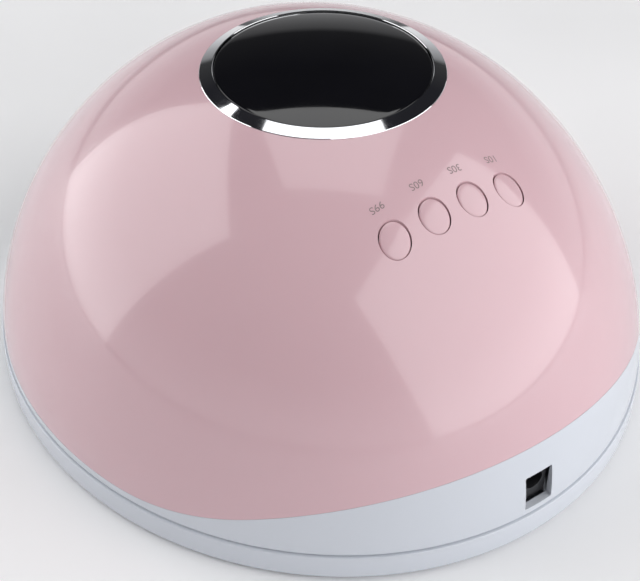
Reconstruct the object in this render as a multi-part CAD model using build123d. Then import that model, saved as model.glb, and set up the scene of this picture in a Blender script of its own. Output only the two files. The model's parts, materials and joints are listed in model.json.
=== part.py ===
from build123d import *
import os
from math import cos, pi, radians, sin, sqrt, tan

# UV LED nail lamp. Millimetres. +Z is up, the hand opening faces -Y, the power inlet faces +Y.
# The origin is under the middle of the lamp, on the surface that it stands on.

# ---- outline of the lamp ----
HALF_X = 103.0             # half width of the oval plan
HALF_Y = 112.0             # half depth of the oval plan
SEAM_Z = 9.4               # top of the tray rim
APEX_Z = 108.7             # height at which the dome profile would close
PROFILE_RISE = 1.74        # how late the side starts to lean in
PROFILE_ROUND = 2.05       # how round the shoulder is
APEX_SHIFT = 3.6           # the dome leans back by this much at its apex
CROWN_TURN = 40            # how late the oval plan turns round towards the display
CASING_INSET = 0.7         # the housing stands back from the tray rim
SECTIONS = 14

# ---- tray ----
TRAY_BOTTOM_Z = 0.6
TRAY_EDGE_R = 1.5
TRAY_WALL = 2.4
DECK_LOW_Z = 4.4
DECK_TOP_Z = 6.4
FOOT_X = 60.0
FOOT_Y = 64.0
FOOT_R = 8.0

# ---- housing shells ----
HOUSING_Z = 9.65           # underside of the lower casing
FLANGE = 2.0               # thickness of the casing floor flange
WALL = 2.4
PARTING_Z = 12.5           # height of the pink edge at the front and sides
PARTING_BEND_Y = 57.4      # where the pink edge starts to climb towards the back
PARTING_SLOPE = 22.2       # degrees
PARTING_BEND_R = 100.0
PARTING_GAP = 0.12
LIP_RISE = 3.0             # the casing has a lip inside the dome edge
LIP_WALL = 1.2
RING_Z = 101.5             # flat land that the display bezel sits on
FAR = 130.0                # past any outside face

# ---- hand opening ----
ENTRY_HALF = 75.0
ENTRY_TOP_Z = 57.0
ENTRY_CORNER_R = 34.0
ENTRY_FOOT_R = 3.0
ENTRY_WALL = 2.2
ENTRY_GAP = 0.15
ENTRY_BACK_Y = -24.0

# ---- reflector hood ----
HOOD_X = 84.0
HOOD_Y = 90.0
HOOD_WALL = 1.8
HOOD_BASE_Z = HOUSING_Z + FLANGE
HOOD_RISE = 66.0
HOOD_ROUND = 2.6
ROOF_Z = 68.4
HOOD_FLANGE = 1.6
HOOD_FLANGE_X = 97.5
HOOD_FLANGE_Y = 105.5

# ---- screws, bosses and magnets between tray, casing and dome ----
BOSS_X = 93.5
BOSS_Y = 101.5
BOSS_R = 3.5
BOSS_ANGLES = [-20, 35, 70, 110, 145, 200]
SCREW_R = 1.3
SCREW_HEAD_R = 2.6
SCREW_HEAD = 1.6
MAGNET_ANGLES = [8, 54, 126, 172]
MAGNET_X = 92.0
MAGNET_Y = 100.0
MAGNET_R = 4.0
MAGNET_H = 2.0
MAGNET_GAP = 0.1
MAGNET_BOSS_R = 6.0

# ---- display at the top ----
DISPLAY_Y = 3.6
RING_OUT_R = 36.7
RING_IN_R = 32.7
RING_TOP_Z = 103.1
RING_LIP = 0.3
SOCKET_R = 33.2            # hole in the dome for the bezel skirt
LENS_R = 32.4
LENS_SEAT_Z = 101.0
LENS_TOP_Z = 105.9
DISPLAY_BOARD_Z = 90.0
DISPLAY_POST_R = 26.0
BOARD_T = 1.6

# ---- buttons ----
BUTTONS = {"button_10s": -19.9, "button_30s": -6.6, "button_60s": 6.6, "button_99s": 19.9}
BUTTON_Y = 65.8
BUTTON_R = 4.3
BUTTON_HOLE_R = 4.6
BUTTON_FOOT_R = 4.9
BUTTON_FOOT_Z = 77.3
BUTTON_FOOT = 0.9
SLEEVE_R = 5.8
SLEEVE_Z = 78.5
SWITCH_BOARD_Z = 71.0
SWITCH = 6.0
SWITCH_H = 3.5
PLUNGER_R = 1.75
PLUNGER_GAP = 0.1
SWITCH_POST_X = 29.5
SWITCH_POST_Y = 64.0

# ---- power inlet ----
JACK_W = 9.0
JACK_H = 11.0
JACK_Z = 18.0
JACK_FACE_Y = 108.3
JACK_BACK_Y = 95.0
JACK_BORE_R = 3.15
JACK_BORE_Z = 19.2
JACK_BORE_BACK_Y = 98.5
PIN_R = 1.0
PIN_ROOT_R = 0.8
PIN_STEP_Y = 99.1          # the pin's full diameter starts here, clear of the socket's rear wall
PIN_TIP_Y = 106.9
RECESS_W = 9.8
RECESS_H = 11.8
DUCT_WALL = 1.4

# ---- electronics ----
LED_BOARD_X = 46.0
LED_BOARD_Y = 42.0
ROOF_RINGS = [(0.0, 1), (0.45, 6), (0.86, 12)]
BEAD_R = 2.4
BEAD_HOLE_R = 2.8
BEAD_PROUD = 0.9
WALL_ROWS = {"lower": (26.0, 12), "upper": (44.0, 10)}
WALL_ROW_START = -22.0     # degrees, either side of the hand opening
STRIP_T = 1.0
STRIP_H = 8.0
STRIP_CUT_Y = -37.5
STRIP_GAP = 1.7
BEAD_BACK = 0.3
MAIN_BOARD_Z = 76.0
MAIN_X = 32.0
MAIN_Y = 40.0
SENSOR_X = 7.0
SENSOR_Y = -49.5


def ellipse_at(x_axis, y_axis, z, shift=0.0):
    """One oval section."""
    return Pos(0, shift, z) * Ellipse(x_axis, y_axis)


def disc(x, y, z, r, h):
    """Upright cylinder standing on z."""
    return Pos(x, y, z) * Cylinder(r, h, align=(Align.CENTER, Align.CENTER, Align.MIN))


def block(x, y, z, dx, dy, dz):
    """Box centred on x and y, standing on z."""
    return Pos(x, y, z) * Box(dx, dy, dz, align=(Align.CENTER, Align.CENTER, Align.MIN))


def on_oval(x_axis, y_axis, degrees):
    """Point on an oval at a parameter angle from +X."""
    return x_axis * cos(radians(degrees)), y_axis * sin(radians(degrees))


def body_half(z):
    """Half width, half depth and centre shift of the housing surface at height z."""
    t = (z - SEAM_Z) / (APEX_Z - SEAM_Z)
    shrink = (1 - max(t, 0) ** PROFILE_RISE) ** (1 / PROFILE_ROUND)
    inset = CASING_INSET * (1 - t)
    to_ring = (z - SEAM_Z) / (RING_Z - SEAM_Z)
    longer = 1 + (HALF_Y / HALF_X - 1) * (1 - max(to_ring, 0) ** CROWN_TURN)
    half_x = HALF_X * shrink - inset
    return half_x, HALF_X * longer * shrink - inset, APEX_SHIFT * t


def body_solid(depth=0.0):
    """The housing's outer form, or the same form taken in by depth at right angles to its skin."""
    sections = []
    step = 0.05
    for i in range(SECTIONS + 1):
        z = HOUSING_Z + (RING_Z - HOUSING_Z) * sin(pi / 2 * i / SECTIONS)
        half_x, half_y, shift = body_half(z)
        lean = (half_x - body_half(z - step)[0]) / step
        out = 1 / sqrt(1 + lean * lean)
        sections.append(ellipse_at(half_x - depth * out, half_y - depth * out, z + depth * lean * out, shift))
    return loft(sections)


def hood_half(z):
    """Half width and half depth of the hood's outer surface."""
    u = max(z - HOOD_BASE_Z, 0) / HOOD_RISE
    shrink = (1 - u ** HOOD_ROUND) ** (1 / HOOD_ROUND)
    return HOOD_X * shrink, HOOD_Y * shrink


def hood_solid(depth, low_z, top_z, count=9):
    """The hood's outer form grown or taken in by depth, between two heights."""
    sections = []
    for i in range(count + 1):
        z = low_z + (top_z - low_z) * sin(pi / 2 * i / count)
        half_x, half_y = hood_half(z)
        sections.append(ellipse_at(half_x - depth, half_y - depth, z))
    return loft(sections)


def below_parting(rise):
    """Everything under the pink edge, raised or lowered by rise."""
    climb = tan(radians(PARTING_SLOPE)) * (FAR - PARTING_BEND_Y)
    start = (-FAR, PARTING_Z + rise)
    bend = (PARTING_BEND_Y, PARTING_Z + rise)
    end = (FAR, PARTING_Z + rise + climb)
    edge = FilletPolyline(start, bend, end, radius=PARTING_BEND_R)
    rest = Polyline(end, (FAR, -FAR), (-FAR, -FAR), start)
    profile = make_face(edge.edges() + rest.edges())
    return extrude(Plane.YZ * profile, FAR, both=True)


def entry_prism(grow, low_z):
    """The hand opening's outline, run along Y."""
    top = ENTRY_TOP_Z + grow
    half = ENTRY_HALF + grow
    outline = Pos(0, (top + low_z) / 2) * Rectangle(2 * half, top - low_z)
    face = fillet(outline.vertices().group_by(Axis.Y)[-1], ENTRY_CORNER_R + grow)
    length = FAR + ENTRY_BACK_Y
    return Plane.XZ.offset(-ENTRY_BACK_Y) * extrude(face, length)


def screw(x, y, z, length, r=SCREW_R, head_r=SCREW_HEAD_R, up=True):
    """Pan-head screw with its seat at z and its shank running up or down, with a cross recess."""
    head = fillet(Cylinder(head_r, SCREW_HEAD).edges().sort_by(Axis.Z)[0], SCREW_HEAD * 0.4)
    head = Pos(0, 0, -SCREW_HEAD / 2) * head
    slot = Box(head_r * 1.1, head_r * 0.28, SCREW_HEAD)
    cross = Pos(0, 0, -SCREW_HEAD * 1.05) * (slot + Rot(0, 0, 90) * slot)
    solid = head - cross + disc(0, 0, 0, r, length)
    return Pos(x, y, z) * Rot(0 if up else 180, 0, 0) * solid


def wire(points, r, radius):
    """Insulated lead along straight runs joined by tangent arcs."""
    path = FilletPolyline(*points, radius=radius)
    return sweep(Plane(path @ 0, z_dir=path % 0) * Circle(r), path=path)


# ---- tray body ----

def base_tray():
    outer = extrude(ellipse_at(HALF_X, HALF_Y, TRAY_BOTTOM_Z), SEAM_Z - TRAY_BOTTOM_Z)
    outer = fillet(outer.edges().sort_by(Axis.Z)[0], TRAY_EDGE_R)
    inner_x = HALF_X - TRAY_WALL
    inner_y = HALF_Y - TRAY_WALL
    outer -= extrude(ellipse_at(inner_x, inner_y, DECK_TOP_Z), SEAM_Z)
    under = ellipse_at(inner_x - 1, inner_y - 1, TRAY_BOTTOM_Z - 1)
    outer -= extrude(under, DECK_LOW_Z - TRAY_BOTTOM_Z + 1)
    for angle in MAGNET_ANGLES:
        x, y = on_oval(MAGNET_X, MAGNET_Y, angle)
        outer += disc(x, y, DECK_LOW_Z, MAGNET_BOSS_R, SEAM_Z - MAGNET_GAP - DECK_LOW_Z)
        pocket_z = SEAM_Z - MAGNET_GAP - MAGNET_H
        outer -= disc(x, y, pocket_z, MAGNET_R + MAGNET_GAP, MAGNET_H + 1)
    return outer


def rubber_feet():
    feet = []
    for x in (-FOOT_X, FOOT_X):
        for y in (-FOOT_Y, FOOT_Y):
            foot = disc(x, y, 0, FOOT_R, DECK_LOW_Z)
            feet.append(fillet(foot.edges().sort_by(Axis.Z)[0], 1.0))
    return Compound(children=feet)


def magnets(z):
    places = [on_oval(MAGNET_X, MAGNET_Y, angle) for angle in MAGNET_ANGLES]
    return Compound(children=[disc(x, y, z, MAGNET_R, MAGNET_H) for x, y in places])


# ---- housing shells ----

def dome_shell(outer, inner):
    shell = outer - inner
    solid_dome = outer - below_parting(PARTING_GAP)
    shell = shell - below_parting(PARTING_GAP)
    posts = []
    for angle in BOSS_ANGLES:
        x, y = on_oval(BOSS_X, BOSS_Y, angle)
        boss_z = HOOD_BASE_Z + HOOD_FLANGE
        posts.append((disc(x, y, boss_z, BOSS_R, 50) & outer) - disc(x, y, boss_z - 1, SCREW_R, 9))
    for x in BUTTONS.values():
        posts.append(disc(x, BUTTON_Y, SLEEVE_Z, SLEEVE_R, 20) & solid_dome)
    for x in (-SWITCH_POST_X, SWITCH_POST_X):
        post_z = SWITCH_BOARD_Z + BOARD_T
        post = disc(x, SWITCH_POST_Y, post_z, 2.5, 20) & solid_dome
        posts.append(post - disc(x, SWITCH_POST_Y, post_z - 1, 1.0, 6))
    shell = shell + posts
    cuts = [disc(x, BUTTON_Y, SLEEVE_Z - 1, BUTTON_HOLE_R, 30) for x in BUTTONS.values()]
    cuts.append(disc(0, DISPLAY_Y, RING_Z - 10, SOCKET_R, 20))
    cuts.append(entry_prism(ENTRY_GAP, -5))
    return shell - cuts


def lower_casing(outer, inner):
    low = below_parting(-PARTING_GAP)
    wall = (outer - inner) & low
    lip = (body_solid(WALL + 0.1) - body_solid(WALL + 0.1 + LIP_WALL)) & below_parting(LIP_RISE)
    base_x, base_y, shift = body_half(HOUSING_Z + FLANGE)
    floor = extrude(ellipse_at(base_x - 1, base_y - 1, HOUSING_Z), FLANGE)
    floor -= extrude(ellipse_at(HOOD_X - HOOD_WALL, HOOD_Y - HOOD_WALL, 0), 30)
    lip_web = (outer & low) - body_solid(WALL + 0.1 + LIP_WALL)
    casing = wall + floor + (lip & outer) + (lip_web - below_parting(-PARTING_GAP - 1.5))
    duct_y = (JACK_BACK_Y + FAR) / 2
    duct_w = RECESS_W + 2 * DUCT_WALL
    duct = block(0, duct_y, HOUSING_Z, duct_w, FAR - JACK_BACK_Y, JACK_Z + RECESS_H / 2 + DUCT_WALL - HOUSING_Z)
    casing += duct & outer
    cuts = [block(0, duct_y - 5, JACK_Z - RECESS_H / 2, RECESS_W, FAR - JACK_BACK_Y + 20, RECESS_H)]
    for angle in MAGNET_ANGLES:
        x, y = on_oval(MAGNET_X, MAGNET_Y, angle)
        casing += disc(x, y, HOUSING_Z, MAGNET_BOSS_R, MAGNET_H + 2)
        cuts.append(disc(x, y, HOUSING_Z + 0.6, MAGNET_R + MAGNET_GAP, 10))
    for angle in BOSS_ANGLES:
        x, y = on_oval(BOSS_X, BOSS_Y, angle)
        cuts.append(disc(x, y, HOUSING_Z - 1, SCREW_R + 0.2, 6))
        cuts.append(disc(x, y, HOOD_BASE_Z, BOSS_R + 0.3, 40))
    cuts.append(entry_prism(ENTRY_GAP, -5))
    return casing - cuts


def hood_inside():
    """Space inside the hood, carried down past its base."""
    room = hood_solid(HOOD_WALL, HOOD_BASE_Z, ROOF_Z - HOOD_WALL)
    drop = ellipse_at(HOOD_X - HOOD_WALL, HOOD_Y - HOOD_WALL, 0)
    return room + extrude(drop, HOOD_BASE_Z)


def roof_places():
    """Plan positions of the roof beads."""
    for reach, count in ROOF_RINGS:
        for i in range(count):
            yield on_oval(LED_BOARD_X * reach, LED_BOARD_Y * reach, 360 * i / count)


def wall_places(z, count):
    """Planes on the hood's outer wall, pointing into the chamber."""
    half_x, half_y = hood_half(z)
    for i in range(count):
        angle = WALL_ROW_START + (180 - 2 * WALL_ROW_START) * i / (count - 1)
        x, y = on_oval(half_x, half_y, angle)
        yield Plane(origin=(x, y, z), z_dir=(-x / half_x ** 2, -y / half_y ** 2, 0))


def reflector_hood():
    hood = hood_solid(0, HOOD_BASE_Z, ROOF_Z)
    hood += extrude(ellipse_at(HOOD_FLANGE_X, HOOD_FLANGE_Y, HOOD_BASE_Z), HOOD_FLANGE)
    for x in (-MAIN_X + 4, MAIN_X - 4):
        for y in (-MAIN_Y + 6, MAIN_Y - 6):
            hood += disc(x, y, ROOF_Z - 1, 3.0, MAIN_BOARD_Z - ROOF_Z + 1)
    hood -= hood_inside()
    cuts = [entry_prism(ENTRY_GAP, -5)]
    cuts.append(block(0, HOOD_FLANGE_Y, 0, RECESS_W + 2 * DUCT_WALL + 0.4, 2 * (HOOD_FLANGE_Y - HOOD_Y) - 1, 30))
    for x in (-MAIN_X + 4, MAIN_X - 4):
        for y in (-MAIN_Y + 6, MAIN_Y - 6):
            cuts.append(disc(x, y, MAIN_BOARD_Z - 6, 1.0, 10))
    for x, y in roof_places():
        cuts.append(disc(x, y, ROOF_Z - 5, BEAD_HOLE_R, 10))
    for side in (-1, 1):
        cuts.append(disc(side * SENSOR_X, SENSOR_Y, ROOF_Z - 5, BEAD_HOLE_R, 10))
    for z, count in WALL_ROWS.values():
        for plane in wall_places(z, count):
            cuts.append(plane * Cylinder(BEAD_HOLE_R, 16))
    for angle in BOSS_ANGLES:
        x, y = on_oval(BOSS_X, BOSS_Y, angle)
        cuts.append(disc(x, y, HOOD_BASE_Z - 1, SCREW_R + 0.2, 4))
    for angle in MAGNET_ANGLES:
        x, y = on_oval(MAGNET_X, MAGNET_Y, angle)
        cuts.append(disc(x, y, HOOD_BASE_Z - 1, MAGNET_BOSS_R + 0.3, 4))
    return hood - cuts


def entry_frame(outer):
    ring = entry_prism(0, HOUSING_Z) - entry_prism(-ENTRY_WALL, HOUSING_Z + ENTRY_WALL)
    return (ring & outer) - hood_inside()


# ---- display ----

def turned(points):
    """Solid of revolution about the display axis."""
    profile = make_face(Polyline(*points, close=True).edges())
    return Pos(0, DISPLAY_Y, 0) * revolve(Plane.XZ * profile, Axis.Z)


def display_posts():
    reach = DISPLAY_POST_R / sqrt(2)
    return [(sx * reach, DISPLAY_Y + sy * reach) for sx in (-1, 1) for sy in (-1, 1)]


def display_bezel():
    web_z = LENS_SEAT_Z - 1.2
    ring = turned([
        (RING_OUT_R, RING_Z), (RING_OUT_R, RING_Z + RING_LIP), (RING_IN_R, RING_TOP_Z),
        (RING_IN_R - 0.1, LENS_SEAT_Z), (DISPLAY_POST_R - 2, LENS_SEAT_Z), (DISPLAY_POST_R - 2, web_z),
        (SOCKET_R - 1.6, web_z), (SOCKET_R - 1.6, RING_Z - 4.5), (SOCKET_R - 0.2, RING_Z - 4.5),
        (SOCKET_R - 0.2, RING_Z)])
    post_z = DISPLAY_BOARD_Z + BOARD_T
    for x, y in display_posts():
        ring += disc(x, y, post_z, 2.3, web_z - post_z + 0.5)
        ring -= disc(x, y, post_z - 1, 0.9, 6)
    return ring


def display_lens():
    edge_z = RING_TOP_Z - 0.4
    rise = LENS_TOP_Z - edge_z
    sphere_r = (LENS_R ** 2 + rise ** 2) / (2 * rise)
    plate = disc(0, DISPLAY_Y, LENS_SEAT_Z, LENS_R, 10)
    return plate & Pos(0, DISPLAY_Y, LENS_TOP_Z - sphere_r) * Sphere(sphere_r)


def display_board():
    board = disc(0, DISPLAY_Y, DISPLAY_BOARD_Z, DISPLAY_POST_R + 3.5, BOARD_T)
    for x, y in display_posts():
        board -= disc(x, y, DISPLAY_BOARD_Z - 1, 1.1, 4)
    return board


def digit_block():
    z = DISPLAY_BOARD_Z + BOARD_T
    housing = block(0, DISPLAY_Y, z, 36, 19, 7)
    return chamfer(housing.edges().group_by(Axis.Z)[-1], 0.5)


def display_screws():
    return Compound(children=[screw(x, y, DISPLAY_BOARD_Z, 5.5, 0.9, 1.9) for x, y in display_posts()])


# ---- buttons and switches ----

def button_cap(x, outer):
    foot = disc(x, BUTTON_Y, BUTTON_FOOT_Z, BUTTON_FOOT_R, BUTTON_FOOT)
    cap = foot + (disc(x, BUTTON_Y, BUTTON_FOOT_Z, BUTTON_R, 30) & outer)
    pocket = disc(x, BUTTON_Y, BUTTON_FOOT_Z - 1, BUTTON_R - 1.1, 5.5) - disc(x, BUTTON_Y, 0, PLUNGER_R, 100)
    return cap - pocket


def switch_plunger(x):
    low = SWITCH_BOARD_Z + BOARD_T + SWITCH_H - 1
    return disc(x, BUTTON_Y, low, PLUNGER_R, BUTTON_FOOT_Z - low)


def tact_switches():
    bodies = []
    base = SWITCH_BOARD_Z + BOARD_T
    for x in BUTTONS.values():
        body = block(x, BUTTON_Y, base, SWITCH, SWITCH, SWITCH_H)
        bodies.append(body - disc(x, BUTTON_Y, base + 1.7, PLUNGER_R + PLUNGER_GAP, 5))
    return Compound(children=bodies)


def switch_board():
    board = block(0, BUTTON_Y - 1, SWITCH_BOARD_Z, 66, 12, BOARD_T)
    for x in (-SWITCH_POST_X, SWITCH_POST_X):
        board -= disc(x, SWITCH_POST_Y, SWITCH_BOARD_Z - 1, 1.2, 4)
    return board


def switch_board_screws():
    sides = (-SWITCH_POST_X, SWITCH_POST_X)
    return Compound(children=[screw(x, SWITCH_POST_Y, SWITCH_BOARD_Z, 6, 1.0, 2.0) for x in sides])


# ---- power inlet ----

def dc_jack_body():
    length = JACK_FACE_Y - JACK_BACK_Y
    body = block(0, (JACK_FACE_Y + JACK_BACK_Y) / 2, JACK_Z - JACK_H / 2, JACK_W, length, JACK_H)
    along = Plane(origin=(0, JACK_BORE_BACK_Y, JACK_BORE_Z), z_dir=(0, 1, 0))
    body -= along * disc(0, 0, 0, JACK_BORE_R, 20)
    body -= along * disc(0, 0, -20, PIN_ROOT_R, 30)
    return body


def dc_centre_pin():
    along = Plane(origin=(0, JACK_BACK_Y, JACK_BORE_Z), z_dir=(0, 1, 0))
    step = PIN_STEP_Y - JACK_BACK_Y
    pin = along * (disc(0, 0, 0, PIN_ROOT_R, step) + disc(0, 0, step, PIN_R, PIN_TIP_Y - PIN_STEP_Y))
    return fillet(pin.edges().sort_by(Axis.Y)[-1], PIN_R * 0.5)


def jack_terminals():
    tabs = [block(side * 2.6, JACK_BACK_Y - 0.9, JACK_Z - 2, 1.6, 1.8, 0.5) for side in (-1, 1)]
    return Compound(children=tabs)


# ---- light boards ----

def bead(r, reach):
    """Light bead with a domed end, pointing along +Z from its board."""
    body = Cylinder(r, reach, align=(Align.CENTER, Align.CENTER, Align.MIN))
    return fillet(body.edges().sort_by(Axis.Z)[-1], r * 0.7)


def roof_board():
    board = extrude(ellipse_at(LED_BOARD_X, LED_BOARD_Y, ROOF_Z), BOARD_T)
    for x in (-MAIN_X + 4, MAIN_X - 4):
        for y in (-MAIN_Y + 6, MAIN_Y - 6):
            board -= disc(x, y, ROOF_Z - 1, 3.3, 10)
    return board


def roof_beads():
    down = HOOD_WALL + BEAD_PROUD
    return Compound(children=[Pos(x, y, ROOF_Z) * Rot(180, 0, 0) * bead(BEAD_R, down) for x, y in roof_places()])


def wall_strip(z):
    low = z - STRIP_H / 2
    top = z + STRIP_H / 2
    band = hood_solid(-STRIP_GAP - STRIP_T, low, top, 3) - hood_solid(-STRIP_GAP, low, top, 3)
    return band - block(0, STRIP_CUT_Y - FAR / 2, 0, 2 * FAR, FAR, FAR)


def wall_beads(z, count):
    reach = HOOD_WALL + BEAD_PROUD + BEAD_BACK
    places = wall_places(z, count)
    return Compound(children=[plane * Pos(0, 0, -BEAD_BACK) * bead(BEAD_R, reach) for plane in places])


def sensor_board():
    return block(0, SENSOR_Y, ROOF_Z, 24, 7, BOARD_T)


def infrared_sensors():
    down = HOOD_WALL + BEAD_PROUD
    sides = (-SENSOR_X, SENSOR_X)
    return Compound(children=[Pos(x, SENSOR_Y, ROOF_Z) * Rot(180, 0, 0) * bead(BEAD_R, down) for x in sides])


# ---- main board ----

def main_board():
    board = block(0, 0, MAIN_BOARD_Z, 2 * MAIN_X, 2 * MAIN_Y, BOARD_T)
    board = fillet(board.edges().filter_by(Axis.Z), 3)
    for x in (-MAIN_X + 4, MAIN_X - 4):
        for y in (-MAIN_Y + 6, MAIN_Y - 6):
            board -= disc(x, y, MAIN_BOARD_Z - 1, 1.2, 4)
    return board


def main_board_screws():
    screws = []
    for x in (-MAIN_X + 4, MAIN_X - 4):
        for y in (-MAIN_Y + 6, MAIN_Y - 6):
            screws.append(screw(x, y, MAIN_BOARD_Z + BOARD_T, 6.5, 1.0, 2.2, up=False))
    return Compound(children=screws)


def on_main(x, y, dx, dy, dz):
    return block(x, y, MAIN_BOARD_Z + BOARD_T, dx, dy, dz)


def power_inductor():
    z = MAIN_BOARD_Z + BOARD_T
    coil = disc(14, 6, z, 6.0, 6.0) - disc(14, 6, z + 1, 2.0, 10)
    return fillet(coil.edges().filter_by(GeomType.CIRCLE).sort_by(Axis.Z)[-2:], 0.8)


def capacitors():
    z = MAIN_BOARD_Z + BOARD_T
    cans = [fillet(disc(x, 26, z, 3.6, 9.5).edges().sort_by(Axis.Z)[-1], 0.8) for x in (6, 15)]
    return Compound(children=cans)


def power_transistors():
    return Compound(children=[on_main(-20 + 9 * i, -12, 6.5, 6.0, 2.3) for i in range(3)])


def lead_headers():
    spots = [(-12, 33), (0, 33), (20, -28), (-6, -33)]
    return Compound(children=[on_main(x, y, 8, 5, 5) for x, y in spots])


# ---- internal leads ----

def power_leads():
    wires = []
    for side in (-1, 1):
        x = side * 2.6
        start_y = JACK_BACK_Y - 1.0
        points = [(x, start_y, JACK_Z - 1.5), (x, start_y, 32), (x, 91, 46), (x, 80, 62), (x, 66, 68.3),
                  (x, 52, 71.6), (x, 44, 73.4)]
        wires.append(wire(points, 0.7, 6.0))
    return Compound(children=wires)


def casing_screws():
    places = [on_oval(BOSS_X, BOSS_Y, angle) for angle in BOSS_ANGLES]
    return Compound(children=[screw(x, y, HOUSING_Z, FLANGE + HOOD_FLANGE + 7.5) for x, y in places])


def write(node, shape):
    shape.label = node
    export_step(shape, f"parts/{node}.step")


def main():
    os.makedirs("parts", exist_ok=True)
    outer = body_solid()
    inner = body_solid(WALL)
    write("base_tray", base_tray())
    write("rubber_feet", rubber_feet())
    write("tray_magnets", magnets(SEAM_Z - MAGNET_GAP - MAGNET_H))
    write("casing_magnets", magnets(HOUSING_Z + 0.65))
    write("dome_shell", dome_shell(outer, inner))
    write("lower_casing", lower_casing(outer, inner))
    write("reflector_hood", reflector_hood())
    write("entry_frame", entry_frame(outer))
    write("casing_screws", casing_screws())
    write("display_bezel", display_bezel())
    write("display_lens", display_lens())
    write("display_board", display_board())
    write("digit_block", digit_block())
    write("display_screws", display_screws())
    for node, x in BUTTONS.items():
        write(node, button_cap(x, outer))
        write(node.replace("button", "switch_plunger"), switch_plunger(x))
    write("tact_switches", tact_switches())
    write("switch_board", switch_board())
    write("switch_board_screws", switch_board_screws())
    write("dc_jack_body", dc_jack_body())
    write("dc_centre_pin", dc_centre_pin())
    write("jack_terminals", jack_terminals())
    write("roof_led_board", roof_board())
    write("roof_led_beads", roof_beads())
    for row, (z, count) in WALL_ROWS.items():
        write(f"{row}_led_strip", wall_strip(z))
        write(f"{row}_led_beads", wall_beads(z, count))
    write("sensor_board", sensor_board())
    write("infrared_sensors", infrared_sensors())
    write("main_board", main_board())
    write("main_board_screws", main_board_screws())
    write("control_chip", on_main(-14, 10, 10, 10, 1.8))
    write("power_inductor", power_inductor())
    write("capacitors", capacitors())
    write("power_transistors", power_transistors())
    write("lead_headers", lead_headers())
    write("power_leads", power_leads())


main()
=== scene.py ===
import json
from math import atan2, cos, pi, radians, sin, sqrt, tan

import bmesh
import bpy
from mathutils import Matrix, Vector


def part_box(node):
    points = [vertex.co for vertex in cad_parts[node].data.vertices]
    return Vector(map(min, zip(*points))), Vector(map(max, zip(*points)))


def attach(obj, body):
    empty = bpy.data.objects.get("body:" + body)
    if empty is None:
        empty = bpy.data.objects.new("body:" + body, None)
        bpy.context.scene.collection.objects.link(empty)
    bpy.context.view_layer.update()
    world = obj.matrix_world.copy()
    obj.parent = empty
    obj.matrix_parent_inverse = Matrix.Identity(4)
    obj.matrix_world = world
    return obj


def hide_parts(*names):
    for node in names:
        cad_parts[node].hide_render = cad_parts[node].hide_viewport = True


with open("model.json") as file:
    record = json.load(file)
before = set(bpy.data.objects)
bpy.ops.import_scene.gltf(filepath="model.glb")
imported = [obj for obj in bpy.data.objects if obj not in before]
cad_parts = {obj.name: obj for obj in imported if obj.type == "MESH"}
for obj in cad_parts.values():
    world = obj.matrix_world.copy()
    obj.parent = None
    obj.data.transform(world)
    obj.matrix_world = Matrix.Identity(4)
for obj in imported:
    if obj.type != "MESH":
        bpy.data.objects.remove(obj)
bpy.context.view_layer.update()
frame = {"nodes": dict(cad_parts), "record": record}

# Everything below is worked out in millimetres in the CAD frame and turned to metres when a mesh is made.
MM = 0.001


def low(node):
    """Lowest corner of a CAD node, in millimetres."""
    return Vector(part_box(node)[0]) / MM


def high(node):
    """Highest corner of a CAD node, in millimetres."""
    return Vector(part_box(node)[1]) / MM


# ---- the lamp's form, as the CAD has it ----
HALF_X = high("base_tray").x
HALF_Y = high("base_tray").y
SEAM_Z = high("base_tray").z
TRAY_BOTTOM_Z = low("base_tray").z
HOUSING_Z = low("lower_casing").z
RING_Z = high("dome_shell").z
APEX_Z = 108.7
PROFILE_RISE = 1.74
PROFILE_ROUND = 2.05
APEX_SHIFT = 3.6
CASING_INSET = 0.7
CROWN_TURN = 40
WALL = 2.4

PARTING_Z = 12.5
PARTING_BEND_Y = 57.4
PARTING_SLOPE = radians(22.2)
PARTING_BEND_R = 100.0
PARTING_GAP = 0.01

ENTRY_HALF = high("entry_frame").x
ENTRY_TOP_Z = high("entry_frame").z
ENTRY_CORNER_R = 34.0
ENTRY_GAP = 0.15
ENTRY_BACK_Y = -24.0

DISPLAY_Y = (low("display_lens").y + high("display_lens").y) / 2
RING_OUT_R = high("display_bezel").x
RING_IN_R = 32.7
RING_TOP_Z = high("display_bezel").z
SOCKET_R = 33.2
LENS_R = high("display_lens").x
LENS_TOP_Z = high("display_lens").z
LENS_SEAT_Z = low("display_lens").z

BUTTONS = ["10s", "30s", "60s", "99s"]
BUTTON_R = 4.3
BUTTON_HOLE_R = 4.6
PILLOW = 0.3                # the caps' tops stand this much proud of their edges
LABEL_DROP = 8.4            # labels stand this far in front of the buttons
LABEL_SIZE = 3.1
MAGNET_ANGLES = (8, 54, 126, 172)
MAGNET_X = 92.0
MAGNET_Y = 100.0

RECESS_W = 9.8
RECESS_H = 11.8
JACK_Z = (low("dc_jack_body").z + high("dc_jack_body").z) / 2
JACK_FACE_Y = high("dc_jack_body").y
JACK_BACK_Y = low("dc_jack_body").y

ROUND_STEPS = 288           # sections round the lamp
RISE_STEPS = 72             # sections up the dome


def body_half(z):
    """Half width, half depth and centre shift of the housing surface at height z."""
    t = (z - SEAM_Z) / (APEX_Z - SEAM_Z)
    shrink = (1 - max(t, 0) ** PROFILE_RISE) ** (1 / PROFILE_ROUND)
    inset = CASING_INSET * (1 - t)
    to_ring = (z - SEAM_Z) / (RING_Z - SEAM_Z)
    longer = 1 + (HALF_Y / HALF_X - 1) * (1 - max(to_ring, 0) ** CROWN_TURN)
    return HALF_X * shrink - inset, HALF_X * longer * shrink - inset, APEX_SHIFT * t


def skin(angle, z):
    """Point on the housing surface."""
    half_x, half_y, shift = body_half(z)
    return Vector((half_x * cos(angle), shift + half_y * sin(angle), z))


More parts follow.
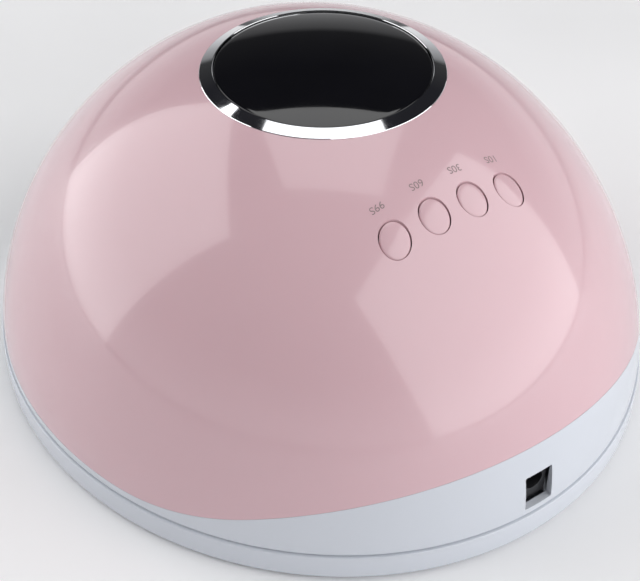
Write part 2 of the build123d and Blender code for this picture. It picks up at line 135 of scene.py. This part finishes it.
def skin_normal(angle, z):
    """Outward direction of the housing surface."""
    step = 0.01
    around = skin(angle + step, z) - skin(angle - step, z)
    upward = skin(angle, z + step) - skin(angle, z - step)
    return around.cross(upward).normalized()


def skin_at(x, y):
    """Height, angle and outward direction of the housing surface over a plan position."""
    bottom, top = SEAM_Z, RING_Z
    for _ in range(40):
        z = (bottom + top) / 2
        half_x, half_y, shift = body_half(z)
        if (x / half_x) ** 2 + ((y - shift) / half_y) ** 2 < 1:
            bottom = z
        else:
            top = z
    angle = atan2((y - shift) / half_y, x / half_x)
    return z, angle, skin_normal(angle, z)


def parting(y):
    """Height of the pink edge at depth y: level, then an arc, then a straight climb to the back."""
    reach = PARTING_BEND_R * tan(PARTING_SLOPE / 2)
    start = PARTING_BEND_Y - reach
    if y < start:
        return PARTING_Z
    if y < PARTING_BEND_Y + reach * cos(PARTING_SLOPE):
        return PARTING_Z + PARTING_BEND_R - sqrt(PARTING_BEND_R ** 2 - (y - start) ** 2)
    return PARTING_Z + (y - PARTING_BEND_Y) * tan(PARTING_SLOPE)


def parting_height(angle):
    """Where the pink edge crosses the housing surface on one side angle."""
    z = PARTING_Z
    for _ in range(30):
        z = parting(skin(angle, z).y)
    return z


# ---- mesh making ----

def new_object(name, verts, faces, body, smooth_angle=32):
    """Mesh object from points in millimetres, shaded smooth below an angle, riding on a body."""
    mesh = bpy.data.meshes.new(name)
    mesh.from_pydata([Vector(v) * MM for v in verts], [], faces)
    mesh.validate()
    finish_mesh(mesh, smooth_angle)
    obj = bpy.data.objects.new(name, mesh)
    bpy.context.scene.collection.objects.link(obj)
    if body:
        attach(obj, body)
    return obj


def finish_mesh(mesh, smooth_angle):
    work = bmesh.new()
    work.from_mesh(mesh)
    bmesh.ops.recalc_face_normals(work, faces=work.faces)
    work.to_mesh(mesh)
    work.free()
    mesh.shade_smooth()
    mesh.set_sharp_from_angle(angle=radians(smooth_angle))


def loops_mesh(columns):
    """Closed skin from a ring of closed columns: every column has the same number of points."""
    count = len(columns)
    depth = len(columns[0])
    verts = [point for column in columns for point in column]
    faces = []
    for i in range(count):
        j = (i + 1) % count
        for k in range(depth):
            n = (k + 1) % depth
            faces.append((i * depth + k, j * depth + k, j * depth + n, i * depth + n))
    return verts, faces


def turned(name, profile, body, y=0.0, steps=160, smooth_angle=32):
    """Solid of revolution about an upright axis; profile points are (radius, height)."""
    verts = []
    faces = []
    rings = []
    for r, z in profile:
        if r < 1e-6:
            rings.append([len(verts)])
            verts.append((0, y, z))
            continue
        rings.append(list(range(len(verts), len(verts) + steps)))
        verts += [(r * cos(2 * pi * i / steps), y + r * sin(2 * pi * i / steps), z) for i in range(steps)]
    closed = len(rings[0]) > 1
    pairs = list(zip(rings, rings[1:] + rings[:1])) if closed else list(zip(rings, rings[1:]))
    for a, b in pairs:
        for i in range(steps):
            j = (i + 1) % steps
            corners = [a[i % len(a)], a[j % len(a)], b[j % len(b)], b[i % len(b)]]
            faces.append(tuple(dict.fromkeys(corners)))
    return new_object(name, verts, faces, body, smooth_angle)


def arc(cx, cz, r, start, end, steps=6):
    """Points of an arc in a profile, angles in degrees."""
    return [(cx + r * cos(radians(start + (end - start) * i / steps)),
             cz + r * sin(radians(start + (end - start) * i / steps))) for i in range(steps + 1)]


def prism(outline, start, end, axis="Y"):
    """Closed prism of an outline of (across, up) points, run along Y or Z."""
    count = len(outline)
    if axis == "Y":
        verts = [(u, t, v) for t in (start, end) for u, v in outline]
    else:
        verts = [(u, v, t) for t in (start, end) for u, v in outline]
    sides = [(i, (i + 1) % count, count + (i + 1) % count, count + i) for i in range(count)]
    return verts, sides + [tuple(range(count)), tuple(range(2 * count - 1, count - 1, -1))]


def round_box(half_w, low_v, high_v, r_low, r_high, steps=10):
    """Rectangle with rounded corners, as (across, up) points."""
    points = []
    corners = [(half_w, high_v, r_high, 0), (-half_w, high_v, r_high, 90),
               (-half_w, low_v, r_low, 180), (half_w, low_v, r_low, 270)]
    for x, v, r, turn in corners:
        cx = x - r if x > 0 else x + r
        cv = v - r if v > low_v else v + r
        points += arc(cx, cv, r, turn, turn + 90, steps)
    return points


def entry_outline(grow, low_z):
    return round_box(ENTRY_HALF + grow, low_z, ENTRY_TOP_Z + grow, 1.0, ENTRY_CORNER_R + grow, 24)


def cut(obj, cutters):
    """Takes the cutters' volume away from a mesh object."""
    for cutter in cutters:
        modifier = obj.modifiers.new("cut", "BOOLEAN")
        modifier.operation = "DIFFERENCE"
        modifier.solver = "EXACT"
        modifier.object = cutter
    view = bpy.context.evaluated_depsgraph_get()
    view.update()
    mesh = bpy.data.meshes.new_from_object(obj.evaluated_get(view))
    obj.modifiers.clear()
    obj.data = mesh
    for cutter in cutters:
        bpy.data.objects.remove(cutter)


def cutter(verts, faces):
    return new_object("cutter", verts, faces, None)


def true_normals(obj, smooth_angle=32):
    """Shades the outer skin with the housing's exact normals and leaves the rest smooth by angle."""
    mesh = obj.data
    mesh.shade_smooth()
    mesh.set_sharp_from_angle(angle=radians(smooth_angle))
    normals = [Vector(corner.vector) for corner in mesh.corner_normals]
    exact = {}
    for vertex in mesh.vertices:
        p = vertex.co / MM
        if not HOUSING_Z < p.z < RING_Z + 0.01:
            continue
        half_x, half_y, shift = body_half(p.z)
        off = sqrt((p.x / half_x) ** 2 + ((p.y - shift) / half_y) ** 2)
        if abs(off - 1) * half_x < 0.08:
            exact[vertex.index] = skin_normal(atan2((p.y - shift) / half_y, p.x / half_x), p.z)
    for face in mesh.polygons:
        for loop in face.loop_indices:
            normal = exact.get(mesh.loops[loop].vertex_index)
            if normal is not None and normal.dot(face.normal) > 0.9:
                normals[loop] = normal
    mesh.normals_split_custom_set(normals)


# ---- materials ----

def material(name):
    mat = bpy.data.materials.new(name)
    mat.use_nodes = True
    return mat, mat.node_tree, mat.node_tree.nodes["Principled BSDF"]


def noise(tree, scale, detail=4.0, rough=0.55):
    coords = tree.nodes.new("ShaderNodeTexCoord")
    texture = tree.nodes.new("ShaderNodeTexNoise")
    texture.inputs["Scale"].default_value = scale
    texture.inputs["Detail"].default_value = detail
    texture.inputs["Roughness"].default_value = rough
    tree.links.new(coords.outputs["Object"], texture.inputs["Vector"])
    return texture.outputs["Fac"]


def spread(tree, factor, lowest, highest):
    """Maps a noise value to a range."""
    span = tree.nodes.new("ShaderNodeMapRange")
    span.inputs["From Min"].default_value = 0.3
    span.inputs["From Max"].default_value = 0.7
    span.inputs["To Min"].default_value = lowest
    span.inputs["To Max"].default_value = highest
    tree.links.new(factor, span.inputs["Value"])
    return span.outputs["Result"]


def two_tone(tree, factor, first, second):
    ramp = tree.nodes.new("ShaderNodeValToRGB")
    ramp.color_ramp.elements[0].position = 0.3
    ramp.color_ramp.elements[1].position = 0.7
    ramp.color_ramp.elements[0].color = (*first, 1)
    ramp.color_ramp.elements[1].color = (*second, 1)
    tree.links.new(factor, ramp.inputs["Fac"])
    return ramp.outputs["Color"]


def surface(name, color, roughness, vary=0.03, vary_scale=22, bump=0.0, bump_scale=900, metallic=0.0,
            coat=0.0, coat_roughness=0.03, rough_spread=0.25, specular=0.5, subsurface=0.0, transmission=0.0,
            ior=1.5):
    """Moulded, plated or printed surface: slight colour drift, uneven gloss and a fine relief."""
    mat, tree, shader = material(name)
    drift = noise(tree, vary_scale)
    dark = tuple(c * (1 - vary) for c in color)
    pale = tuple(min(1, c * (1 + vary)) for c in color)
    tree.links.new(two_tone(tree, drift, dark, pale), shader.inputs["Base Color"])
    gloss = noise(tree, vary_scale * 4)
    span = spread(tree, gloss, roughness * (1 - rough_spread), roughness * (1 + rough_spread))
    tree.links.new(span, shader.inputs["Roughness"])
    shader.inputs["Metallic"].default_value = metallic
    shader.inputs["Coat Weight"].default_value = coat
    shader.inputs["Coat Roughness"].default_value = coat_roughness
    shader.inputs["Specular IOR Level"].default_value = specular
    shader.inputs["Subsurface Weight"].default_value = subsurface
    shader.inputs["Subsurface Radius"].default_value = (0.004, 0.002, 0.002)
    shader.inputs["Transmission Weight"].default_value = transmission
    shader.inputs["IOR"].default_value = ior
    if bump:
        relief = tree.nodes.new("ShaderNodeBump")
        relief.inputs["Strength"].default_value = bump
        relief.inputs["Distance"].default_value = 0.0001
        tree.links.new(noise(tree, bump_scale, 3), relief.inputs["Height"])
        tree.links.new(relief.outputs["Normal"], shader.inputs["Normal"])
    return mat


PINK = (0.66, 0.445, 0.485)
MATERIALS = {
    "pink_gloss": surface("pink_gloss", PINK, 0.16, vary=0.015, vary_scale=12, bump=0.03, bump_scale=260,
                          coat=0.45, coat_roughness=0.035, specular=0.4, subsurface=0.05),
    "white_plastic": surface("white_plastic", (0.62, 0.65, 0.71), 0.26, vary=0.004, vary_scale=7, bump=0.012,
                             bump_scale=240, rough_spread=0.05, coat=0.35, coat_roughness=0.12),
    "white_liner": surface("white_liner", (0.76, 0.77, 0.80), 0.16, vary=0.006, vary_scale=9, bump=0.01,
                           bump_scale=240, rough_spread=0.05, coat=0.4),
    "rubber": surface("rubber", (0.018, 0.018, 0.02), 0.75, vary=0.2, bump=0.5, bump_scale=1600),
    "magnet_metal": surface("magnet_metal", (0.62, 0.62, 0.64), 0.22, metallic=1.0, vary=0.05, bump=0.05),
    "chrome": surface("chrome", (0.86, 0.87, 0.89), 0.055, metallic=1.0, vary=0.02, vary_scale=60),
    "black_lens": surface("black_lens", (0.0045, 0.0045, 0.006), 0.05, vary=0.15, vary_scale=40, coat=0.5,
                          coat_roughness=0.02),
    "circuit_board": surface("circuit_board", (0.012, 0.10, 0.045), 0.35, vary=0.3, vary_scale=260, bump=0.3),
    "aluminium_board": surface("aluminium_board", (0.72, 0.73, 0.74), 0.38, metallic=0.6, vary=0.05, bump=0.1),
    "dark_plastic": surface("dark_plastic", (0.014, 0.014, 0.016), 0.34, vary=0.2, bump=0.25, bump_scale=1500),
    "pin_metal": surface("pin_metal", (0.66, 0.65, 0.62), 0.2, metallic=1.0, vary=0.06, vary_scale=300),
    "led_lens": surface("led_lens", (0.88, 0.86, 0.66), 0.08, vary=0.08, vary_scale=500, coat=1.0, transmission=0.35),
    "dark_lens": surface("dark_lens", (0.03, 0.008, 0.04), 0.08, vary=0.2, vary_scale=300, coat=1.0),
    "can_metal": surface("can_metal", (0.10, 0.12, 0.20), 0.3, vary=0.1, vary_scale=200, bump=0.1),
    "screw_steel": surface("screw_steel", (0.52, 0.53, 0.55), 0.28, metallic=1.0, vary=0.08, vary_scale=400, bump=0.2),
    "wire_sleeve": surface("wire_sleeve", (0.45, 0.02, 0.02), 0.4, vary=0.1, vary_scale=300, bump=0.1),
    "label_ink": surface("label_ink", (0.26, 0.20, 0.20), 0.5, vary=0.1, vary_scale=900, bump=0.05),
}


def paint(obj, name):
    obj.data.materials.clear()
    obj.data.materials.append(MATERIALS[name])


def stand_for(obj, node, slot_name):
    """The piece takes a CAD node's place and its finish."""
    paint(obj, slot_name)
    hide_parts(node)


# ---- housing shells ----

def shell_column(angle, stops, steps):
    """One closed section through a shell: outer skin up, inner skin down, with a softened lower edge."""
    z0, z1, edge = stops
    rises = [z0 + (z1 - z0) * sin(pi / 2 * i / steps) for i in range(steps + 1)]
    outer = []
    inner = []
    for z in rises:
        point = skin(angle, z)
        normal = skin_normal(angle, z)
        outer.append(point)
        inner.append(point - normal * WALL)
    # the two corners of the lower edge are eased
    across = (inner[0] - outer[0]).normalized()
    upward = (outer[1] - outer[0]).normalized()
    eased = [outer[0] + across * edge, outer[0] + (across + upward) * edge * 0.29, outer[0] + upward * edge]
    return eased + outer[1:], inner


def build_dome():
    columns = []
    for i in range(ROUND_STEPS):
        angle = 2 * pi * i / ROUND_STEPS
        z0 = parting_height(angle) + PARTING_GAP
        outer, inner = shell_column(angle, (z0, RING_Z, 0.12), RISE_STEPS)
        socket = [(SOCKET_R * cos(angle), DISPLAY_Y + SOCKET_R * sin(angle), z) for z in (RING_Z, RING_Z - WALL)]
        columns.append(outer + socket + inner[::-1])
    dome = new_object("dome", *loops_mesh(columns), "housing")
    cutters = [cutter(*prism(entry_outline(ENTRY_GAP, -5), -HALF_Y - 20, ENTRY_BACK_Y))]
    for name in BUTTONS:
        x = (low("button_" + name).x + high("button_" + name).x) / 2
        y = (low("button_" + name).y + high("button_" + name).y) / 2
        circle = [(x + px, y + py) for px, py in arc(0, 0, BUTTON_HOLE_R, 0, 360 - 360 / 96, 95)]
        cutters.append(cutter(*prism(circle, 70, RING_Z, "Z")))
    cut(dome, cutters)
    true_normals(dome)
    stand_for(dome, "dome_shell", "pink_gloss")


def build_casing():
    """White band under the pink edge, with its floor flange, the hand opening and the inlet recess."""
    columns = []
    flange_top = HOUSING_Z + 2.0
    for i in range(ROUND_STEPS):
        angle = 2 * pi * i / ROUND_STEPS
        z1 = parting_height(angle) - PARTING_GAP
        rises = [HOUSING_Z + 0.4 + (z1 - HOUSING_Z - 0.4) * k / 10 for k in range(11)]
        outer = [skin(angle, z) for z in rises]
        inner = [skin(angle, z) - skin_normal(angle, z) * WALL for z in rises if z > flange_top - 0.4]
        inner = [Vector((p.x, p.y, max(p.z, flange_top + 0.05 * k))) for k, p in enumerate(inner)]
        toe = skin(angle, HOUSING_Z + 0.05) * 0.9965
        toe.z = HOUSING_Z
        ledge = [Vector((84 * cos(angle), 90 * sin(angle), z)) for z in (flange_top, HOUSING_Z)]
        rises_inner = inner[:1] + [inner[0] + (inner[-1] - inner[0]) * k / 5 for k in range(1, 6)]
        columns.append([toe] + outer + rises_inner[::-1] + ledge)
    casing = new_object("casing", *loops_mesh(columns), "housing")
    hole = round_box(RECESS_W / 2, JACK_Z - RECESS_H / 2, JACK_Z + RECESS_H / 2, 0.5, 0.5, 5)
    cutters = [cutter(*prism(entry_outline(ENTRY_GAP, -5), -HALF_Y - 20, ENTRY_BACK_Y)),
               cutter(*prism(hole, JACK_BACK_Y - 4, HALF_Y + 20))]
    cut(casing, cutters)
    true_normals(casing)
    stand_for(casing, "lower_casing", "white_plastic")
    wall = round_box(RECESS_W / 2 + 1.4, JACK_Z - RECESS_H / 2 - 1.4, JACK_Z + RECESS_H / 2 + 1.4, 1, 1, 5)
    front = HALF_Y - CASING_INSET - 2.2
    duct = new_object("inlet_duct", *prism(wall, JACK_BACK_Y, front), "housing")
    cut(duct, [cutter(*prism(hole, JACK_BACK_Y - 1, front + 1))])
    finish_mesh(duct.data, 32)
    paint(duct, "white_plastic")


def build_tray():
    """Oval dish: rolled lower edge, upright rim, shallow deck and a hollow underside."""
    edge_r = 1.5
    wall = 2.4
    deck_low = 4.4
    deck_top = 6.4
    rim_r = 0.45
    profile = [(wall + 1.0, deck_low), (wall + 1.0, TRAY_BOTTOM_Z)]
    profile += [(edge_r - dx, z) for dx, z in arc(0, TRAY_BOTTOM_Z + edge_r, edge_r, -90, 0, 10)]
    profile += [(rim_r - dx, z) for dx, z in arc(0, SEAM_Z - rim_r, rim_r, 0, 90, 4)]
    profile += [(wall - 0.3, SEAM_Z), (wall, SEAM_Z - 0.3), (wall, deck_top + 0.8), (wall + 0.8, deck_top)]
    columns = []
    for i in range(ROUND_STEPS):
        angle = 2 * pi * i / ROUND_STEPS
        column = [((HALF_X - d) * cos(angle), (HALF_Y - d) * sin(angle), z) for d, z in profile]
        columns.append([(0.02 * cos(angle), 0.02 * sin(angle), deck_low)] + column
                       + [(0.02 * cos(angle), 0.02 * sin(angle), deck_top)])
    tray = new_object("tray", *loops_mesh(columns), "tray")
    for i, angle in enumerate(MAGNET_ANGLES):
        x = MAGNET_X * cos(radians(angle))
        y = MAGNET_Y * sin(radians(angle))
        top = SEAM_Z - 0.1
        floor_z = top - 2.0
        boss = turned(f"magnet_boss_{i}", [(0, deck_low + 0.2), (5.8, deck_low + 0.2), (5.8, top - 0.2), (5.6, top),
                                           (4.25, top), (4.1, top - 0.15), (4.1, floor_z), (0, floor_z)],
                      "tray", y, smooth_angle=25)
        boss.data.transform(Matrix.Translation((x * MM, 0, 0)))
        paint(boss, "white_plastic")
    stand_for(tray, "base_tray", "white_plastic")


# ---- display ----

def build_display():
    ease = 0.12
    profile = [(RING_OUT_R, RING_Z), (RING_OUT_R, RING_Z + 0.2), (RING_OUT_R - ease, RING_Z + 0.34),
               (RING_IN_R + 0.35, RING_TOP_Z - 0.02), (RING_IN_R + 0.12, RING_TOP_Z), (RING_IN_R, RING_TOP_Z - 0.1),
               (RING_IN_R - 0.1, LENS_SEAT_Z), (SOCKET_R - 3, LENS_SEAT_Z), (SOCKET_R - 3, LENS_SEAT_Z - 1.2),
               (SOCKET_R - 0.2, LENS_SEAT_Z - 1.2), (SOCKET_R - 0.2, RING_Z)]
    bezel = turned("bezel", profile, "housing", DISPLAY_Y, smooth_angle=12)
    stand_for(bezel, "display_bezel", "chrome")
    edge_z = RING_TOP_Z - 0.4
    rise = LENS_TOP_Z - edge_z
    sphere_r = (LENS_R ** 2 + rise ** 2) / (2 * rise)
    crown = [(LENS_R * i / 24, LENS_TOP_Z - sphere_r + sqrt(sphere_r ** 2 - (LENS_R * i / 24) ** 2))
             for i in range(24)]
    rim = arc(LENS_R - 0.35, edge_z - 0.3, 0.35, 80, 0, 5)
    lens = turned("lens", [(0, LENS_SEAT_Z)] + [(LENS_R, LENS_SEAT_Z)] + rim[::-1] + crown[::-1], "housing", DISPLAY_Y)
    stand_for(lens, "display_lens", "black_lens")


# ---- buttons and their labels ----

def build_button(name):
    """Cap whose top follows the dome, eased at its edge and slightly pillowed."""
    node = "button_" + name
    x = (low(node).x + high(node).x) / 2
    y = (low(node).y + high(node).y) / 2
    rings = [0.12, 0.3, 0.5, 0.7, 0.85, 0.93, 0.97, 0.99, 1.0]
    ease = [0, 0, 0, 0.0, 0.02, 0.08, 0.18, 0.32, 0.6]
    steps = 96
    columns = []
    for i in range(steps):
        a = 2 * pi * i / steps
        column = []
        for reach, drop in zip(rings, ease):
            px = x + BUTTON_R * reach * cos(a)
            py = y + BUTTON_R * reach * sin(a)
            crown = PILLOW * (0.5 - reach * reach)
            column.append((px, py, skin_at(px, py)[0] - drop + crown))
        side = [(x + BUTTON_R * cos(a), y + BUTTON_R * sin(a), z) for z in (80.0, 78.2)]
        foot = [(x + 4.9 * cos(a), y + 4.9 * sin(a), z) for z in (78.2, low(node).z)]
        end = [(x + 0.02 * cos(a), y + 0.02 * sin(a), low(node).z)]
        top = [(x + 0.02 * cos(a), y + 0.02 * sin(a), skin_at(x, y)[0] + PILLOW / 2)]
        columns.append(top + column + side + foot + end)
    cap = new_object("cap_" + name, *loops_mesh(columns), "key_" + name, 40)
    stand_for(cap, node, "pink_gloss")


def build_label(name):
    """Printed time beside a button, laid on the dome."""
    node = "button_" + name
    x = (low(node).x + high(node).x) / 2
    y = (low(node).y + high(node).y) / 2 - LABEL_DROP
    curve = bpy.data.curves.new("label", "FONT")
    curve.body = name.upper()
    curve.size = LABEL_SIZE
    curve.align_x = "CENTER"
    curve.align_y = "CENTER"
    text = bpy.data.objects.new("label", curve)
    bpy.context.scene.collection.objects.link(text)
    view = bpy.context.evaluated_depsgraph_get()
    view.update()
    mesh = bpy.data.meshes.new_from_object(text.evaluated_get(view))
    bpy.data.objects.remove(text)
    height, _, normal = skin_at(x, y)
    lean = sqrt(1 - normal.z ** 2) / normal.z
    stretch = 1 / sqrt(1 + lean * lean)
    for vertex in mesh.vertices:
        px = x + vertex.co.x
        py = y + vertex.co.y * stretch
        z, _, out = skin_at(px, py)
        vertex.co = (Vector((px, py, z)) + out * 0.03) * MM
    label = bpy.data.objects.new("label_" + name, mesh)
    bpy.context.scene.collection.objects.link(label)
    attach(label, "housing")
    paint(label, "label_ink")


# ---- light, floor and camera ----

def softbox(name, azimuth, elevation, distance, width, height, power, color=(1, 1, 1)):
    """Rectangular area light that faces the lamp. Azimuth 0 is in front (-Y), 90 is +X."""
    a = radians(azimuth)
    e = radians(elevation)
    way = Vector((sin(a) * cos(e), -cos(a) * cos(e), sin(e)))
    data = bpy.data.lights.new(name, "AREA")
    data.shape = "RECTANGLE"
    data.size = width
    data.size_y = height
    data.energy = power
    data.color = color
    lamp = bpy.data.objects.new(name, data)
    lamp.location = way * distance + Vector((0, 0, 0.05))
    lamp.rotation_euler = (-way).to_track_quat("-Z", "Y").to_euler()
    bpy.context.scene.collection.objects.link(lamp)
    return lamp


def build_studio():
    world = bpy.data.worlds.new("studio")
    world.use_nodes = True
    tree = world.node_tree
    room = tree.nodes["Background"]
    coords = tree.nodes.new("ShaderNodeTexCoord")
    split = tree.nodes.new("ShaderNodeSeparateXYZ")
    ramp = tree.nodes.new("ShaderNodeValToRGB")
    ramp.color_ramp.elements[0].position = 0.0
    ramp.color_ramp.elements[0].color = (1.0, 1.0, 1.0, 1)
    ramp.color_ramp.elements[1].position = 0.56
    ramp.color_ramp.elements[1].color = (0.02, 0.02, 0.024, 1)
    for place, level in ((0.10, 0.75), (0.20, 0.45), (0.28, 0.28), (0.32, 0.05)):
        stop = ramp.color_ramp.elements.new(place)
        stop.color = (level, level, level * 1.02, 1)
    tree.links.new(coords.outputs["Generated"], split.inputs["Vector"])
    tree.links.new(split.outputs["Z"], ramp.inputs["Fac"])
    tree.links.new(ramp.outputs["Color"], room.inputs["Color"])
    room.inputs["Strength"].default_value = 0.85
    backdrop = tree.nodes.new("ShaderNodeBackground")
    backdrop.inputs["Color"].default_value = (1.0, 1.0, 1.0, 1)
    path = tree.nodes.new("ShaderNodeLightPath")
    mix = tree.nodes.new("ShaderNodeMixShader")
    tree.links.new(path.outputs["Is Camera Ray"], mix.inputs["Fac"])
    tree.links.new(room.outputs["Background"], mix.inputs[1])
    tree.links.new(backdrop.outputs["Background"], mix.inputs[2])
    tree.links.new(mix.outputs["Shader"], tree.nodes["World Output"].inputs["Surface"])
    bpy.context.scene.world = world
    bpy.context.scene.view_settings.view_transform = "Standard"
    softbox("left_box", 42, 28, 1.2, 1.25, 1.35, 11.5)
    softbox("right_box", 210, 31, 1.2, 2.0, 1.5, 18.5)
    softbox("top_box", -36, 74, 1.2, 0.72, 0.95, 3.2)
    floor_size = 6.0
    floor_mesh = bpy.data.meshes.new("floor")
    corners = [(-1, -1), (1, -1), (1, 1), (-1, 1)]
    floor_mesh.from_pydata([(x * floor_size, y * floor_size, 0) for x, y in corners], [], [(0, 1, 2, 3)])
    floor = bpy.data.objects.new("floor", floor_mesh)
    bpy.context.scene.collection.objects.link(floor)
    floor.data.materials.append(surface("floor_paint", (0.93, 0.93, 0.94), 0.6, vary=0.004, vary_scale=3))


def build_camera():
    target = Vector((0, 0, 0.045))
    azimuth = radians(145.39)
    elevation = radians(37.57)
    distance = 0.44374
    way = Vector((sin(azimuth) * cos(elevation), -cos(azimuth) * cos(elevation), sin(elevation)))
    data = bpy.data.cameras.new("camera")
    data.sensor_width = 36
    data.lens = 77.35
    data.shift_x = 0.0061
    data.shift_y = -0.118
    data.clip_start = 0.01
    camera = bpy.data.objects.new("camera", data)
    camera.location = target + way * distance
    camera.rotation_euler = (-way).to_track_quat("-Z", "Y").to_euler()
    bpy.context.scene.collection.objects.link(camera)
    bpy.context.scene.camera = camera


def build_carried_nodes():
    """CAD nodes that keep their own shape take the procedural material of their slot."""
    slots = {row["node"]: row["material_slot"] for row in frame["record"]["subparts"]}
    for node, obj in frame["nodes"].items():
        paint_slots(obj, MATERIALS[slots[node]])


def paint_slots(obj, mat):
    if not obj.material_slots:
        obj.data.materials.append(mat)
    for place in obj.material_slots:
        place.material = mat


build_camera()
build_studio()
build_carried_nodes()
build_dome()
build_casing()
build_tray()
build_display()
for button in BUTTONS:
    build_button(button)
    build_label(button)
